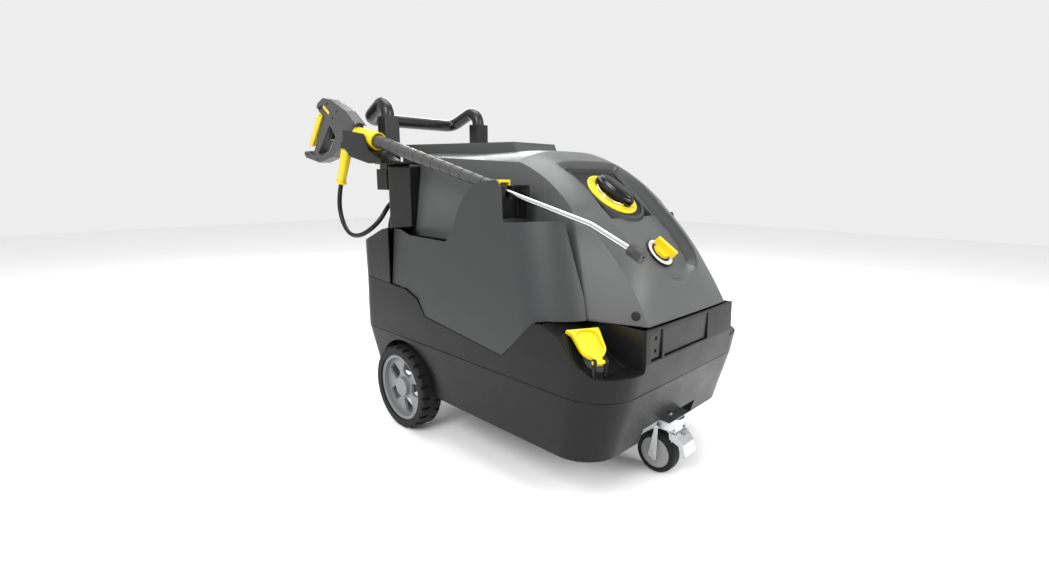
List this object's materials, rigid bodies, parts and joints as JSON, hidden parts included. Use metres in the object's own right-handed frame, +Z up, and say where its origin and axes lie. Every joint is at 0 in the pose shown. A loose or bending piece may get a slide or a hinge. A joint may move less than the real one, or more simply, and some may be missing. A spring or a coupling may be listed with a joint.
{
  "type": "hot water pressure washer",
  "caption": "Wheeled hot-water pressure washer with a sloping hood, control dial, push handle, trigger gun, long lance and a front swivel caster.",
  "frame": {"origin": "on the floor below the middle of the machine, hose left out", "axes": "+X forward to the caster, +Y to the machine's left, +Z up"},
  "size_m": [1.3255, 0.644, 0.912],
  "materials": {
    "dark_grey_plastic": "fine-grained moulded surface",
    "mid_grey_plastic": "fine-grained moulded surface",
    "black_plastic": "satin moulded surface",
    "light_grey_plastic": "satin moulded surface",
    "front_plate_black": "glossy",
    "yellow_plastic": "satin",
    "dial_black": "satin",
    "handle_paint": "powder-coated tube",
    "steel": "stainless steel",
    "zinc": "zinc-plated pressed steel",
    "hose_rubber": "smooth rubber cover",
    "tyre_rubber": "matt rubber",
    "rim_grey": "moulded",
    "hub_grey": "moulded",
    "tank_plastic": "blow-moulded",
    "boiler_steel": "coated sheet",
    "machine_iron": "cast"
  },
  "bodies": {
    "body": {"chassis_base": "mid_grey_plastic", "chassis_upper": "mid_grey_plastic", "front_plate": "front_plate_black", "service_panel": "front_plate_black", "filler_bays": "front_plate_black", "chute_bearings": "black_plastic", "bonnet": "dark_grey_plastic", "control_panel": "light_grey_plastic", "dial_ring": "yellow_plastic", "flow_plate": "light_grey_plastic", "side_panel_right": "dark_grey_plastic", "side_panel_left": "dark_grey_plastic", "pocket_trays": "black_plastic", "lance_cradle": "black_plastic", "lance_latch": "yellow_plastic", "rear_housing": "black_plastic", "rear_shoulders": "black_plastic", "burner_cover": "light_grey_plastic", "flue_duct": "steel", "push_handle": "handle_paint", "lance_holder": "black_plastic", "lance_tube": "steel", "lance_grip": "black_plastic", "lance_collar": "yellow_plastic", "lance_nozzle": "steel", "gun_body": "black_plastic", "hose_swivel": "steel", "hose_sleeve": "yellow_plastic", "pressure_hose": "hose_rubber", "hose_tail": "hose_rubber", "hose_coil": "hose_rubber", "hose_hook": "steel", "pressure_outlet": "steel", "water_inlet": "steel", "cable_gland": "tank_plastic", "wheel_axle": "zinc", "caster_mount": "zinc", "fuel_tank": "tank_plastic", "detergent_tank": "tank_plastic", "deck_plate": "zinc", "boiler": "boiler_steel", "heating_coil": "boiler_steel", "burner_blower": "boiler_steel", "motor": "machine_iron", "pump": "machine_iron", "body_screws": "black_plastic"},
    "dial": {"dial_knob": "dial_black"},
    "flow": {"flow_knob": "black_plastic"},
    "chute_right": {"filler_chute_right": "light_grey_plastic"},
    "chute_left": {"filler_chute_left": "light_grey_plastic"},
    "trigger": {"gun_trigger": "yellow_plastic"},
    "catch": {"gun_catch": "black_plastic"},
    "wheel_right": {"tyre_right": "tyre_rubber", "rim_right": "rim_grey"},
    "wheel_left": {"tyre_left": "tyre_rubber", "rim_left": "rim_grey"},
    "caster": {"caster_fork": "zinc"},
    "caster_wheel": {"caster_tyre": "tyre_rubber", "caster_hub": "hub_grey"},
    "pedal": {"brake_pedal": "zinc"}
  },
  "joints": [
    {"name": "dial_turn", "type": "hinge", "parent": "body", "child": "dial", "pos_m": [0.413, 0.004, 0.645], "axis": [0.6159, 0, 0.7879], "range_deg": [0, 270]},
    {"name": "flow_turn", "type": "hinge", "parent": "body", "child": "flow", "pos_m": [0.5506, 0, 0.5175], "axis": [0.7268, 0, 0.6868], "range_deg": [0, 180]},
    {"name": "chute_right_fold", "type": "hinge", "parent": "body", "child": "chute_right", "pos_m": [0.59888, -0.2737, 0.3388], "axis": [0.45, 0.893, 0], "range_deg": [0, 70]},
    {"name": "chute_left_fold", "type": "hinge", "parent": "body", "child": "chute_left", "pos_m": [0.59888, 0.2737, 0.3388], "axis": [-0.45, 0.893, 0], "range_deg": [0, 70]},
    {"name": "trigger_squeeze", "type": "hinge", "parent": "body", "child": "trigger", "pos_m": [-0.52, -0.245, 0.862], "axis": [0, -1, 0], "range_deg": [0, 8], "stiffness_Nm_per_rad": 2, "springref_deg": -5.73},
    {"name": "catch_turn", "type": "hinge", "parent": "body", "child": "catch", "pos_m": [-0.452, -0.245, 0.838], "axis": [0, -1, 0], "range_deg": [0, 20]},
    {"name": "wheel_right_roll", "type": "hinge", "parent": "body", "child": "wheel_right", "pos_m": [-0.039, -0.291, 0.115], "axis": [0, 1, 0], "continuous": true},
    {"name": "wheel_left_roll", "type": "hinge", "parent": "body", "child": "wheel_left", "pos_m": [-0.039, 0.291, 0.115], "axis": [0, 1, 0], "continuous": true},
    {"name": "caster_swivel", "type": "hinge", "parent": "body", "child": "caster", "pos_m": [0.612, -0.01, 0.13], "axis": [0, 0, 1], "continuous": true},
    {"name": "caster_roll", "type": "hinge", "parent": "caster", "child": "caster_wheel", "pos_m": [0.586, -0.01, 0.05], "axis": [0, 1, 0], "continuous": true},
    {"name": "brake_press", "type": "hinge", "parent": "caster", "child": "pedal", "pos_m": [0.632, -0.01, 0.11], "axis": [0, 1, 0], "range_deg": [0, 12]}
  ]
}
